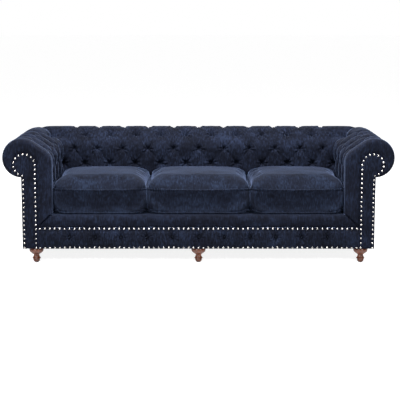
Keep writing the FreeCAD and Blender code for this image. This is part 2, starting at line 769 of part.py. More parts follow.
def crownProfile(low, high):
    """A cushion's section: flat below, upright at the sides, domed on top."""
    middle = "((%s) + (%s)) / 2" % (low, high)
    rise = "(cushionCrown - cushionEdge)"
    half = "(((%s) - (%s)) / 2)" % (high, low)
    radius = "(%s ^ 2 + %s ^ 2) / (2 * %s)" % (half, rise, rise)
    return [
        (low, "cushionBottom"),
        (high, "cushionBottom"),
        (high, "cushionEdge", radius, 1),
        (middle, "cushionCrown", radius, 1),
        (low, "cushionEdge"),
    ]


def makeCushions():
    outer = "(%s - cushionGap)" % innerX
    split = "(centreCushion / 2)"
    ends = {
        "left": ("-" + outer, "-(%s + cushionGap)" % split),
        "centre": ("-" + split, split),
        "right": ("(%s + cushionGap)" % split, outer),
    }
    yLow = "(%s + cushionFront)" % front
    yHigh = "(%s - cushionGap - 1)" % innerY
    for name, (low, high) in ends.items():
        across = pad("CushionAcross", "XZ_Plane", crownProfile(low, high), yLow, yHigh)
        deep = pad("CushionDeep", "YZ_Plane", crownProfile(yLow, yHigh), low, high)
        whole = common("CushionWhole", across, deep)
        sizesOfCore = ("%s + coreInset" % low, "%s - coreInset" % high,
                       "%s + coreInset" % yLow, "%s - coreInset" % yHigh,
                       "cushionBottom + coreInset", "cushionEdge - coreInset / 2")
        cut(name + "_seat_cushion", whole, box("CoreSpace", *sizesOfCore))
        keep(box(name + "_cushion_core", *sizesOfCore), name + "_cushion_core")


def writeParts():
    doc.recompute()
    for thing in doc.Objects:
        if "Invalid" in thing.State or "Error" in thing.State:
            raise RuntimeError("%s (%s) did not build" % (thing.Name, thing.Label))
    for node in nodes:
        if node.Shape.isNull() or not node.Shape.isValid():
            raise RuntimeError("%s has no valid shape" % node.Label)
        if not node.Shape.Solids:
            raise RuntimeError("%s holds no solid" % node.Label)
    os.makedirs("parts", exist_ok=True)
    for node in nodes:
        node.Shape.exportStep("parts/%s.step" % node.Label)
        print("%-26s %4d solids %12.0f mm3" % (node.Label, len(node.Shape.Solids), node.Shape.Volume))
    print("%d sub-parts" % len(nodes))


makeSeatFrame()
makeLegs()
makeArmFrames()
makeBackFrame()
makeSuspension()
makeUpholstery()
makeFront()
makeNails()
makeDustCover()
makeCushions()
writeParts()
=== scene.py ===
import json
import math

import bmesh
import bpy
import numpy as np
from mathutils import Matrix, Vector, noise


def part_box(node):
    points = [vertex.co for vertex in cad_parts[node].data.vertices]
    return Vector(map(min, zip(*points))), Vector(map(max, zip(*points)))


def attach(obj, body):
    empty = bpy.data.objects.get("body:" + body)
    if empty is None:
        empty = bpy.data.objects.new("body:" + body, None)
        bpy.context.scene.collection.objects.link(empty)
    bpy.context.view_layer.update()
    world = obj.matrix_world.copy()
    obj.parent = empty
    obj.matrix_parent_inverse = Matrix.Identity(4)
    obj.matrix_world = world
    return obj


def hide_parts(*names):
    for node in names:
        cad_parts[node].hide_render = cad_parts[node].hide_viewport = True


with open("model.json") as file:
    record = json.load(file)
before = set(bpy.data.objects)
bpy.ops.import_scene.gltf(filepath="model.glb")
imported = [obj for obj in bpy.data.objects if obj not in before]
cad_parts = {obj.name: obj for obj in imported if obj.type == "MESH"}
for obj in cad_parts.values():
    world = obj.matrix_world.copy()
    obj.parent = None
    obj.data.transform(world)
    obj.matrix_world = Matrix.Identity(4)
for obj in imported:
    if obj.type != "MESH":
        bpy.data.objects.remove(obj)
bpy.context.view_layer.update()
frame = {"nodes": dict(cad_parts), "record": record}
scene = bpy.context.scene
sofa = "sofa"  # the body that everything but the loose cushions rides on
print("frame loaded:", len(frame["nodes"]), "nodes")


def corners(node):
    low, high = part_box(node)
    return np.array(low), np.array(high)


def toLinear(hexColour):
    parts = [int(hexColour[i:i + 2], 16) / 255 for i in (1, 3, 5)]
    return tuple(p / 12.92 if p <= 0.04045 else ((p + 0.055) / 1.055) ** 2.4 for p in parts) + (1.0,)


def addNode(tree, kind, settings=None, inputs=None):
    made = tree.nodes.new(kind)
    for name, setting in (settings or {}).items():
        setattr(made, name, setting)
    for socket, given in (inputs or {}).items():
        if isinstance(given, bpy.types.NodeSocket):
            tree.links.new(given, made.inputs[socket])
        else:
            made.inputs[socket].default_value = given
    return made


def newMaterial(name):
    material = bpy.data.materials.new(name)
    material.use_nodes = True
    tree = material.node_tree
    surface = next(n for n in tree.nodes if n.type == "BSDF_PRINCIPLED")
    place = addNode(tree, "ShaderNodeTexCoord").outputs["Object"]
    return material, tree, surface, place


def rampOf(tree, factor, stops):
    made = addNode(tree, "ShaderNodeValToRGB", inputs={"Fac": factor})
    ramp = made.color_ramp
    while len(ramp.elements) < len(stops):
        ramp.elements.new(0.5)
    for element, (position, colour) in zip(ramp.elements, stops):
        element.position = position
        element.color = toLinear(colour)
    return made.outputs["Color"]


def noiseOf(tree, place, scale, detail, **more):
    inputs = {"Vector": place, "Scale": scale, "Detail": detail, **more}
    return addNode(tree, "ShaderNodeTexNoise", inputs=inputs).outputs["Fac"]


def stretchedPlace(tree, place, scale):
    return addNode(tree, "ShaderNodeMapping", inputs={"Vector": place, "Scale": scale}).outputs[0]


def mixOf(tree, first, share, second, clamp=False):
    # first times share, plus second
    settings = {"operation": "MULTIPLY_ADD", "use_clamp": clamp}
    return addNode(tree, "ShaderNodeMath", settings, {0: first, 1: share, 2: second}).outputs[0]


def rangeOf(tree, value, low, high):
    inputs = {"Value": value, "To Min": low, "To Max": high}
    return addNode(tree, "ShaderNodeMapRange", inputs=inputs).outputs[0]


def bumpOf(tree, height, strength, distance, under=None):
    inputs = {"Strength": strength, "Distance": distance, "Height": height}
    if under:
        inputs["Normal"] = under
    return addNode(tree, "ShaderNodeBump", inputs=inputs).outputs["Normal"]


def finishSurface(tree, surface, colour, rough, normal):
    tree.links.new(colour, surface.inputs["Base Color"])
    tree.links.new(normal, surface.inputs["Normal"])
    if isinstance(rough, float):
        surface.inputs["Roughness"].default_value = rough
    else:
        tree.links.new(rough, surface.inputs["Roughness"])


# Cut-pile cotton velvet: short upright pile, dark where it is seen end on and pale where the eye
# meets it edge on. Its nap is brushed in soft patches, and each tuft is far under a millimetre.
def makeVelvet(name, dark, middle, light, sheen, tint):
    material, tree, surface, place = newMaterial(name)
    patches = noiseOf(tree, place, 9.0, 4.0, Roughness=0.55, Distortion=0.6)
    crush = noiseOf(tree, place, 45.0, 5.0, Roughness=0.6, Distortion=1.2)
    # brushed lines in the nap, about 4 mm across and several times as long
    lines = noiseOf(tree, stretchedPlace(tree, place, (1.0, 0.16, 0.16)), 240.0, 3.0, Roughness=0.65)
    # tufts stand about 0.4 mm apart; drawn at 1.2 mm so that the pile still shows
    pile = noiseOf(tree, place, 830.0, 2.0, Roughness=0.7)
    lined = mixOf(tree, mixOf(tree, crush, 0.5, patches), 0.45, lines)
    spread = addNode(tree, "ShaderNodeMapRange", inputs={"Value": lined, "From Min": 0.6, "From Max": 1.15})
    grain = mixOf(tree, pile, 0.25, spread.outputs[0], clamp=True)
    colour = rampOf(tree, grain, [(0.1, dark), (0.55, middle), (1.0, light)])
    normal = bumpOf(tree, lines, 0.3, 0.0015)
    normal = bumpOf(tree, crush, 0.15, 0.003, normal)
    normal = bumpOf(tree, pile, 0.35, 0.0006, normal)
    finishSurface(tree, surface, colour, rangeOf(tree, patches, 0.78, 0.95), normal)
    surface.inputs["Specular IOR Level"].default_value = 0.03
    surface.inputs["Sheen Weight"].default_value = sheen
    surface.inputs["Sheen Roughness"].default_value = 0.25
    surface.inputs["Sheen Tint"].default_value = toLinear(tint)
    return material


# Walnut, turned on a lathe, stained mid brown and lacquered: long grain up the foot, with a thin
# clear coat over it that gives small sharp lights.
def makeTurnedWood(name):
    material, tree, surface, place = newMaterial(name)
    stretched = stretchedPlace(tree, place, (1.0, 1.0, 0.12))
    # figure about 6 mm across, open pores about 0.7 mm across
    figure = noiseOf(tree, stretched, 160.0, 6.0, Roughness=0.62, Distortion=1.4)
    pores = noiseOf(tree, stretched, 1400.0, 2.0)
    tone = mixOf(tree, pores, 0.25, figure, clamp=True)
    colour = rampOf(tree, tone, [(0.35, "#160702"), (0.6, "#3A1808"), (0.85, "#5E2C10")])
    finishSurface(tree, surface, colour, rangeOf(tree, figure, 0.22, 0.36), bumpOf(tree, pores, 0.15, 0.0004))
    surface.inputs["Specular IOR Level"].default_value = 0.3
    surface.inputs["Coat Weight"].default_value = 0.12
    surface.inputs["Coat Roughness"].default_value = 0.12
    return material


# Sawn beech of the hidden frame: pale, dry, with fine straight grain about 5 mm across.
def makeSawnWood(name):
    material, tree, surface, place = newMaterial(name)
    grain = noiseOf(tree, stretchedPlace(tree, place, (0.15, 1.0, 1.0)), 220.0, 5.0, Roughness=0.6)
    colour = rampOf(tree, grain, [(0.3, "#A57C4E"), (0.7, "#CDA874")])
    finishSurface(tree, surface, colour, 0.75, bumpOf(tree, grain, 0.3, 0.0005))
    return material


# Nickel-plated steel or drawn steel wire: bright metal, its gloss dulled in places by rub marks
# about 4 mm long.
def makeMetal(name, colourLow, colourHigh, roughLow, roughHigh):
    material, tree, surface, place = newMaterial(name)
    marks = noiseOf(tree, place, 260.0, 4.0, Roughness=0.6)
    colour = rampOf(tree, marks, [(0.3, colourLow), (0.7, colourHigh)])
    finishSurface(tree, surface, colour, rangeOf(tree, marks, roughLow, roughHigh),
                  bumpOf(tree, marks, 0.08, 0.0003))
    surface.inputs["Metallic"].default_value = 1.0
    return material


# Plain woven cloth, such as jute webbing or the black lining: matt, ridged by crossing threads.
def makeWoven(name, dark, light, threadMm, bumpStrength):
    material, tree, surface, place = newMaterial(name)
    turnsPerMetre = 20 / (2 * math.pi)  # what the wave node draws at a scale of 1
    scale = 1000.0 / threadMm / turnsPerMetre
    threads = []
    for direction in ("X", "Y", "Z"):
        wave = addNode(tree, "ShaderNodeTexWave", {"bands_direction": direction}, {
            "Vector": place, "Scale": scale, "Distortion": 0.8, "Detail": 1.0})
        threads.append(wave.outputs["Fac"])
    pair = addNode(tree, "ShaderNodeMath", {"operation": "MAXIMUM"}, {0: threads[0], 1: threads[1]})
    weave = addNode(tree, "ShaderNodeMath", {"operation": "MULTIPLY"}, {0: pair.outputs[0], 1: threads[2]})
    tone = mixOf(tree, noiseOf(tree, place, 30.0, 4.0), 0.5, weave.outputs[0], clamp=True)
    colour = rampOf(tree, tone, [(0.2, dark), (0.9, light)])
    finishSurface(tree, surface, colour, 0.92, bumpOf(tree, weave.outputs[0], bumpStrength, 0.0006))
    return material


# Cut polyurethane foam, and the moulded glides: matt, finely pitted.
def makePitted(name, dark, light, pitMm, rough):
    material, tree, surface, place = newMaterial(name)
    pits = addNode(tree, "ShaderNodeTexVoronoi", inputs={
        "Vector": place, "Scale": 1000.0 / pitMm}).outputs["Distance"]
    colour = rampOf(tree, pits, [(0.1, dark), (0.6, light)])
    finishSurface(tree, surface, colour, rough, bumpOf(tree, pits, 0.3, 0.0005))
    return material


velvet = makeVelvet("navyCutPileVelvet", "#030408", "#080A12", "#141A28", 0.44, "#788AB4")
# the same cloth in three more tones: a paler copy with more sheen is painted light on the loose cushions
paintedLightCushionVelvet = makeVelvet("navyCushionVelvetWithPaintedLight", "#030408", "#090C15", "#161D2B", 0.46, "#788AB4")
# a darker copy with less sheen is painted shade on the buttoned arms and back
paintedShadeTuftedVelvet = makeVelvet("navyTuftedVelvetWithPaintedShade", "#020307", "#070911", "#171D2C", 0.26, "#788AB4")
# a near-black copy with almost no sheen is painted shade in the button wells
paintedShadeButtonVelvet = makeVelvet("navyButtonVelvetWithPaintedShade", "#010102", "#020307", "#05070D", 0.1, "#788AB4")
turnedWalnut = makeTurnedWood("lacqueredTurnedWalnut")
sawnBeech = makeSawnWood("sawnBeech")
nickelNail = makeMetal("polishedNickelNail", "#7A7875", "#9D9A96", 0.14, 0.26)
springSteel = makeMetal("drawnSpringSteel", "#5C5D60", "#8A8B8E", 0.3, 0.5)
juteWebbing = makeWoven("wovenJuteWebbing", "#6B5032", "#A98858", 2.2, 0.6)
blackLining = makeWoven("blackBackingCloth", "#08080A", "#1B1B1F", 0.9, 0.3)
foamCore = makePitted("cutFoam", "#B5AA84", "#E6DDBB", 1.1, 0.9)
glidePlastic = makePitted("mouldedGlidePlastic", "#1B1512", "#2C2420", 0.8, 0.5)
print("materials made")


def addMesh(name, verts, faces, material):
    mesh = bpy.data.meshes.new(name)
    mesh.from_pydata([tuple(map(float, v)) for v in verts], [], [tuple(map(int, f)) for f in faces])
    mesh.validate()
    mesh.polygons.foreach_set("use_smooth", [True] * len(mesh.polygons))
    mesh.materials.append(material)
    piece = bpy.data.objects.new(name, mesh)
    scene.collection.objects.link(piece)
    return piece


def gridFaces(rows, columns, start=0, closeRows=False, closeColumns=False, flip=False):
    faces = []
    for i in range(rows if closeRows else rows - 1):
        for j in range(columns if closeColumns else columns - 1):
            a = start + i * columns + j
            b = start + i * columns + (j + 1) % columns
            c = start + ((i + 1) % rows) * columns + (j + 1) % columns
            d = start + ((i + 1) % rows) * columns + j
            faces.append((a, d, c, b) if flip else (a, b, c, d))
    return faces


def endCaps(rows, around, flip=False):
    # the two closing faces of a tube of that many rings
    caps = [tuple(reversed(range(around))), tuple(range((rows - 1) * around, rows * around))]
    return [tuple(reversed(cap)) for cap in caps] if flip else caps


def rimOf(n, m):
    # the outer loop of an n by m grid
    rim = [i * m for i in range(n)] + [(n - 1) * m + j for j in range(1, m)]
    return rim + [i * m + m - 1 for i in reversed(range(n - 1))] + list(reversed(range(1, m - 1)))


def weld(piece):
    work = bmesh.new()
    work.from_mesh(piece.data)
    bmesh.ops.remove_doubles(work, verts=work.verts, dist=0.00005)
    bmesh.ops.recalc_face_normals(work, faces=work.faces)
    work.to_mesh(piece.data)
    work.free()
    return piece


def joined(name, parts, material):
    verts = []
    faces = []
    for partVerts, partFaces in parts:
        start = len(verts)
        verts.extend(partVerts)
        faces.extend(tuple(start + i for i in face) for face in partFaces)
    return addMesh(name, verts, faces, material)


def settle(piece, body, nodes):
    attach(piece, body)
    if nodes:
        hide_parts(*nodes)


def smoothStep(x, low, high):
    k = np.clip((x - low) / (high - low), 0, 1)
    return k * k * (3 - 2 * k)


def wobble(points, scale, seed):
    shift = Vector((seed * 7.3, seed * 3.1, seed * 5.7))
    return np.array([noise.noise(Vector(p) * scale + shift) for p in points])


# the arms and the back share one section
armLow, armHigh = corners("right_arm_upholstery")
panelHigh = corners("right_outside_arm")[1]
lipLow, lipHigh = corners("front_edge_roll")
innerX = armLow[0]
innerY = corners("back_upholstery")[0][1]
sectionDepth = armHigh[0] - innerX
rollRadius = armHigh[0] - panelHigh[0]
sofaTop = armHigh[2]
padFoot = armLow[2]

section = {
    "innerRadius": 0.090,   # round between the inner face and the shoulder
    "innerBend": 0.147,     # drop from the top to where the inner face turns upright
    "cornerRadius": 0.030,  # plan radius of the inner corner between arm and back
}


def sectionOutline():
    # (offset behind the inner face, height) up the inner face and round the roll to its underside
    bendZ = sofaTop - section["innerBend"]
    low = np.array((section["innerRadius"], bendZ))
    roll = np.array((sectionDepth - rollRadius, sofaTop - rollRadius))
    between = roll - low
    reach = np.hypot(*between)
    lean = math.atan2(between[1], between[0])
    tangent = lean + math.acos((section["innerRadius"] - rollRadius) / reach)
    rise = [(0.0, z) for z in np.linspace(padFoot, bendZ, 60)[:-1]]
    bend = [low + section["innerRadius"] * np.array((math.cos(a), math.sin(a)))
            for a in np.linspace(math.pi, tangent, 40)]
    over = [roll + rollRadius * np.array((math.cos(a), math.sin(a)))
            for a in np.linspace(tangent, -math.pi / 2, 160)]
    points = np.array(rise + bend + over)
    run = np.concatenate(([0], np.cumsum(np.hypot(*np.diff(points, axis=0).T))))
    heading = np.gradient(points, run, axis=0)
    heading /= np.hypot(*heading.T)[:, None]
    normals = np.stack((-heading[:, 1], heading[:, 0]), axis=1)
    return run, points, normals, roll


outlineRun, outlinePoints, outlineNormals, rollCentre = sectionOutline()
sectionLength = outlineRun[-1]


def onSection(run):
    point = np.stack([np.interp(run, outlineRun, outlinePoints[:, k]) for k in (0, 1)], axis=-1)
    normal = np.stack([np.interp(run, outlineRun, outlineNormals[:, k]) for k in (0, 1)], axis=-1)
    normal /= np.linalg.norm(normal, axis=-1)[..., None]
    return point, normal


def runAtHeight(height):
    face = outlineRun[outlinePoints[:, 0] <= 1e-6]
    return float(face[0] + (height - padFoot))


topRun = float(outlineRun[np.argmax(outlinePoints[:, 1])])
bendEnd = float(outlineRun[60 + 39])
rollStart = float(outlineRun[60 + 40])
print("section is %.3f m round" % sectionLength)


# deep buttoning: one pattern runs up the left arm, along the back and down the right arm, and is cut
# into three covers in the middle of each corner
tufting = {
    "pitchBack": 0.175,      # buttons along the back
    "pitchArm": 0.165,       # buttons along the arms
    "endColumn": 0.772,      # the back's outermost half column
    "armColumn": -0.0705,    # a whole column on the arms
    "rowHeights": (0.457, 0.557, 0.657),  # rows on the upright inner face
    "depth": 0.036,          # crest of a pillow to its button
    "topDepth": 0.028,       # the same along the top of the roll
    "tailDepth": 0.012,      # the pleats where they end under the roll
    # height of the folds midway between buttons, how pointed they rise, how full the pillows are
    "backFold": (0.86, 0.42, 0.70),
    "armFold": (0.22, 0.75, 0.42),
    "well": 0.015,           # how far each button is sunk below its folds
    "pucker": 0.0034,        # small gathers that spread from the buttons
    "slopeDrop": 0.030,      # the row on the slope sits this far below the middle of it
    "armDepth": 0.006,       # the arms are buttoned this much deeper than the back
    "lean": 0.007,           # how far the pillows hang over the fold below
    "armLean": 0.010,        # more of the same on the arms
    "padding": 0.041,        # thickness over the frame
    "step": 0.0045,          # mesh size
}
halfBack = innerX - section["cornerRadius"]
cornerRun = section["cornerRadius"] * math.pi / 2
cornerMiddle = halfBack + cornerRun / 2
armFront = corners("right_arm_front_band")[1][1]
armRun = halfBack + cornerRun + (innerY - section["cornerRadius"] - armFront)


def armRunAt(y):
    return halfBack + cornerRun + innerY - section["cornerRadius"] - y


columnRuns = [0, tufting["endColumn"], cornerMiddle]
columnCounts = [0, 4.5, 5.5]
for count in (6, 7, 8, 9):
    columnRuns.append(armRunAt(tufting["armColumn"] - tufting["pitchArm"] * (count - 7)))
    columnCounts.append(count)
slopeRow = (bendEnd + rollStart) / 2 - tufting["slopeDrop"]
rowSpacing = tufting["rowHeights"][1] - tufting["rowHeights"][0]
rowRuns = [runAtHeight(z) for z in tufting["rowHeights"]] + [slopeRow, topRun]
rowRuns = [rowRuns[0] - rowSpacing] + rowRuns + [2 * topRun - slopeRow]
rowCounts = list(range(-1, len(rowRuns) - 1))
topRow = 4


def columnOf(t):
    return np.sign(t) * np.interp(np.abs(t), columnRuns, columnCounts)


def runOfColumn(a):
    return float(np.sign(a) * np.interp(abs(a), columnCounts, columnRuns))


def rowOf(s):
    beyond = np.maximum(s - rowRuns[-1], 0) / (topRun - slopeRow)
    return np.interp(s, rowRuns, rowCounts) + beyond


def planAt(t, offset):
    # the place in plan of a point that far behind the inner face, and the outward direction there
    u = np.abs(t)
    side = np.where(t < 0, -1.0, 1.0)
    radius = section["cornerRadius"]
    turn = np.clip((u - halfBack) / radius, 0, math.pi / 2)
    # the corner is squarer than a quarter circle, to cover the square frame below it
    squarer = (np.sin(turn) ** 4 + np.cos(turn) ** 4) ** -0.25
    reach = (radius + offset) * squarer
    x = halfBack + reach * np.sin(turn) + np.minimum(u - halfBack, 0)
    y = innerY - radius + reach * np.cos(turn) - np.maximum(u - halfBack - cornerRun, 0)
    return side * x, y, side * np.sin(turn), np.cos(turn)


def tuftHeight(a, b, ridge, rise, plump):
    # 0 at a button, part of the way up along a fold, 1 at the crest of a pillow
    held = np.clip(b, -1, topRow)
    u = a + held / 2
    v = a - held / 2
    x = u - np.floor(u)
    y = v - np.floor(v)
    alongU = 4 * x * (1 - x)
    alongV = 4 * y * (1 - y)
    pillow = (alongU * alongV) ** plump
    foldU = alongU ** rise
    foldV = alongV ** rise
    fold = ridge * (foldU + foldV - foldU * foldV)
    return fold + (1 - fold) * pillow


def aroundButtons(a, b):
    # distance from the nearest button, and small gathers that spread out from it
    held = np.clip(b, -1, topRow)
    u = a + held / 2
    v = a - held / 2
    du = u - np.round(u)
    dv = v - np.round(v)
    across = (du + dv) / 2 * tufting["pitchBack"]
    along = (du - dv) * rowSpacing + (b - held) * rowSpacing
    away = np.hypot(across, along)
    turn = np.arctan2(along, across)
    lobes = np.sin(8 * turn + 2.4 * np.round(u) + 1.7 * np.round(v)) + 0.5 * np.sin(13 * turn + np.round(u))
    return away, lobes * np.exp(-((away - 0.024) / 0.017) ** 2)


def tuftedPoints(t, s):
    # t along the cover, s round its section, both in metres; returns the points of the cover
    point, normal = onSection(s)
    x, y = planAt(t, point[..., 0])[:2]
    flat = np.stack((x, y, point[..., 1]), axis=-1)
    spots = flat.reshape(-1, 3)
    a = columnOf(t)
    b = rowOf(s)
    held = np.clip(b, -1, topRow)
    calm = np.sin(math.pi * (a + held / 2)) ** 2 + np.sin(math.pi * (a - held / 2)) ** 2
    wander = wobble(spots, 7.0, 1).reshape(t.shape)
    drift = wobble(spots, 9.0, 2).reshape(t.shape)
    a = a + 0.05 * wander * calm
    b = b + 0.06 * drift * calm
    past = smoothStep(b, topRow, topRow + 0.8)
    onArm = smoothStep(np.abs(t), cornerMiddle - 0.04, cornerMiddle + 0.08)
    ridge, rise, plump = ((1 - onArm) * back + onArm * arm
                          for back, arm in zip(tufting["backFold"], tufting["armFold"]))
    ridge = ridge * (1 - 0.35 * past)
    height = tuftHeight(a, b, ridge, rise, plump * (1 - 0.3 * past))
    away, gathers = aroundButtons(a, b)
    shown = 1 - smoothStep(b, topRow, topRow + 0.5)
    # one more pleat fans out round the corner of the roll
    stretch = 1 + point[..., 0] / section["cornerRadius"]
    fromCorner = np.abs(np.abs(t) - cornerMiddle) * stretch
    cornerPleat = np.exp(-fromCorner / 0.015) * smoothStep(b, 3.0, 3.5)
    height = height * (1 - 0.35 * cornerPleat)
    depth = np.interp(b, [-1, 3, topRow, topRow + 1.2, topRow + 3],
                      [tufting["depth"], tufting["depth"], tufting["topDepth"],
                       0.75 * tufting["topDepth"], tufting["tailDepth"]])
    depth = depth + tufting["armDepth"] * onArm
    # the folds flatten where the cover is sewn to the plain band
    toSeam = armRun - np.abs(t)
    depth = depth * (0.3 + 0.7 * smoothStep(toSeam, 0.0, 0.045))
    ripple = wobble(spots, 38.0, 3).reshape(t.shape) * 0.0011
    ripple = ripple + wobble(spots, 90.0, 4).reshape(t.shape) * 0.0004
    inward = depth * (1 - height) - ripple * (0.4 + 0.6 * height)
    inward = inward + (tufting["well"] * np.exp(-(away / 0.015) ** 2) - tufting["pucker"] * gathers) * shown
    lean = (tufting["lean"] + tufting["armLean"] * onArm) * height * (1 - smoothStep(b, 2.8, 3.8))
    offset = point[..., 0] - normal[..., 0] * inward - normal[..., 1] * lean
    z = point[..., 1] - normal[..., 1] * inward + normal[..., 0] * lean
    x, y = planAt(t, offset)[:2]
    return np.stack((x, y, z), axis=-1)


def tuftedCover(name, tLow, tHigh, material):
    columns = np.linspace(tLow, tHigh, int((tHigh - tLow) / tufting["step"]))
    rounds = np.linspace(0, sectionLength, int(sectionLength / tufting["step"]))
    t, s = np.meshgrid(columns, rounds, indexing="ij")
    outside = tuftedPoints(t, s)
    # the hidden inner side, along the hollow that holds the frame
    pad = tufting["padding"]
    hollow = rollRadius - pad
    roll = rollCentre
    inside = np.array([(roll[0], roll[1] - hollow), (roll[0] + hollow, roll[1]),
                       (roll[0], roll[1] + hollow), (roll[0] - 0.046, roll[1] + 0.062),
                       (pad, sofaTop - section["innerBend"]), (pad, padFoot)])
    tIn, k = np.meshgrid(columns, np.arange(len(inside)), indexing="ij")
    x, y = planAt(tIn, inside[k, 0])[:2]
    back = np.stack((x, y, inside[k, 1]), axis=-1)
    rings = np.concatenate((outside, back), axis=1)
    rows, around = rings.shape[:2]
    faces = gridFaces(rows, around, closeColumns=True, flip=True) + endCaps(rows, around, flip=True)
    return addMesh(name, rings.reshape(-1, 3), faces, material)


# the buttoned covers wear the darker velvet, painted shade
backCover = tuftedCover("back_cover", -cornerMiddle, cornerMiddle, paintedShadeTuftedVelvet)
settle(backCover, sofa, ["back_upholstery"])
for side, ends in (("left", (-armRun, -cornerMiddle)), ("right", (cornerMiddle, armRun))):
    cover = tuftedCover(side + "_arm_cover", *ends, paintedShadeTuftedVelvet)
    settle(cover, sofa, [side + "_arm_upholstery"])
print("arms and back buttoned")


button = {"radius": 0.0112, "height": 0.0065, "segments": 20, "rings": 5}


def domeAt(point, out, radius, height, segments, rings):
    up = Vector(out).normalized()
    across = up.orthogonal().normalized()
    along = up.cross(across)
    verts = [tuple(Vector(point) + up * height)]
    for ring in range(1, rings + 1):
        angle = math.pi / 2 * ring / rings
        for k in range(segments):
            spin = 2 * math.pi * k / segments
            flat = across * math.cos(spin) + along * math.sin(spin)
            verts.append(tuple(Vector(point) + flat * radius * math.sin(angle)
                               + up * (height * math.cos(angle) - 0.001 * ring / rings)))
    verts.append(tuple(Vector(point) - up * 0.003))
    faces = [(0, 1 + k, 1 + (k + 1) % segments) for k in range(segments)]
    faces += gridFaces(rings, segments, start=1, closeColumns=True)
    last = 1 + (rings - 1) * segments
    faces += [(len(verts) - 1, last + (k + 1) % segments, last + k) for k in range(segments)]
    return verts, faces


def buttonGroup(name, lattice, node):
    parts = []
    for a, b in lattice:
        t = runOfColumn(a)
        s = float(np.interp(b, rowCounts, rowRuns))
        point = tuftedPoints(np.array([[t]]), np.array([[s]]))[0, 0]
        flat, normal = onSection(np.array([s]))
        outX, outY = planAt(np.array([t]), flat[:, 0])[2:]
        out = (normal[0, 0] * outX[0], normal[0, 0] * outY[0], normal[0, 1])
        parts.append(domeAt(point, out, button["radius"], button["height"],
                            button["segments"], button["rings"]))
    # the buttons take the near-black velvet, painted shade in their wells
    piece = joined(name, parts, paintedShadeButtonVelvet)
    settle(piece, sofa, [node])


backLattice = [(a + b % 2 / 2, b) for b in range(topRow + 1) for a in range(-5, 6 - b % 2)]
buttonGroup("back_cover_buttons", backLattice, "back_buttons")
for side, sign in (("left", -1), ("right", 1)):
    armLattice = [(sign * (a - (0.5 if b % 2 == 0 else 0)), b) for b in range(0, topRow + 1)
                  for a in (6.5, 7.5, 8.5)]
    buttonGroup(side + "_arm_cover_buttons", armLattice, side + "_arm_buttons")
print("buttons set")


# a plain padded band goes round each arm's front, with a flat facing inside it
facingLow, facingHigh = corners("right_arm_facing")
facingScroll = {
    "centre": (1.0855, 0.626),
    "radius": 0.075,
    "overhang": 0.005,  # past the outside panel, so that the nails stay inside the outline
    "face": facingLow[1],
}
band = {
    "round": 0.022,     # roll of the front edge
    "bulge": 0.015,     # puff of the front face over its seams
    "seamY": facingLow[1] + 0.009,
    "step": 0.006,
}


def scrollRun(count):
    # the facing's edge from the mitre up its inner side and round the scroll: run, points
    centre = np.array(facingScroll["centre"])
    radius = facingScroll["radius"]
    straight = centre[1] - lipLow[2]
    endAngle = -math.acos((panelHigh[0] - centre[0]) / radius)
    sweep = math.pi - endAngle
    total = straight + radius * sweep
    run = np.linspace(0, total, count)
    angle = math.pi - np.maximum(run - straight, 0) / radius
    points = np.where((run < straight)[:, None],
                      np.stack((np.full(count, centre[0] - radius), lipLow[2] + run), axis=1),
                      centre + radius * np.stack((np.cos(angle), np.sin(angle)), axis=1))
    return run, points, (0, straight, straight + radius * math.pi / 2, straight + radius * math.pi, total)


def armBand(name, side):
    firstRun = runAtHeight(lipHigh[2])
    quarter = rollRadius * math.pi / 2
    outerKnots = (firstRun, outlineRun[59], topRun, topRun + quarter, sectionLength)
    run, scroll, innerKnots = scrollRun(400)
    s = np.linspace(firstRun, sectionLength, int((sectionLength - firstRun) / band["step"]))
    matched = np.interp(s, outerKnots, innerKnots)
    inner = np.stack([np.interp(matched, run, scroll[:, k]) for k in (0, 1)], axis=1)
    point, normal = onSection(s)
    outer = point + np.array((innerX, 0))
    apart = np.linalg.norm(outer - inner, axis=1)
    turn = np.minimum(band["round"], 0.42 * apart)
    tucked = outer - normal * turn[:, None]
    rows = []
    for f in np.linspace(0, 1, 12)[:-1]:
        flat = inner + (tucked - inner) * f
        puff = band["bulge"] * math.sin(math.pi * min(f, 0.5)) ** 0.75 * np.minimum(apart / 0.05, 1)
        rows.append((flat, band["seamY"] - puff + 0 * apart))
    frontY = band["seamY"] - band["bulge"] * np.minimum(apart / 0.05, 1)
    for angle in np.linspace(0, math.pi / 2, 8):
        flat = tucked + normal * (turn * math.sin(angle))[:, None]
        rows.append((flat, frontY + turn * (1 - math.cos(angle))))
    sideStart = frontY + turn
    for f in np.linspace(0, 1, 9)[1:]:
        swell = 0.0035 * math.sin(math.pi * f) - 0.006 * max(f - 0.85, 0) / 0.15
        rows.append((outer + normal * swell, sideStart + (armFront - 0.001 - sideStart) * f))
    for inset in (0.018, 0.04):
        rows.append((outer - normal * np.minimum(inset, 0.9 * apart)[:, None], armFront - 0.001 + 0 * apart))
    rows.append((inner, armFront - 0.012 + 0 * apart))
    count = len(rows)
    grid = np.zeros((len(s), count, 3))
    for k, (flat, y) in enumerate(rows):
        grid[:, k, 0] = flat[:, 0]
        grid[:, k, 2] = flat[:, 1]
        grid[:, k, 1] = y
    spots = grid.reshape(-1, 3)
    ease = np.zeros(count)
    ease[2:25] = 1
    ripple = (wobble(spots, 28.0, 11) * 0.0014 + wobble(spots, 75.0, 12) * 0.0004).reshape(len(s), count)
    grid[:, :, 1] -= np.maximum(ripple, -0.001) * ease
    grid[:, :, 0] *= side
    faces = gridFaces(len(s), count, closeColumns=True, flip=side < 0)
    return addMesh(name, grid.reshape(-1, 3), faces + endCaps(len(s), count, flip=side < 0), velvet)


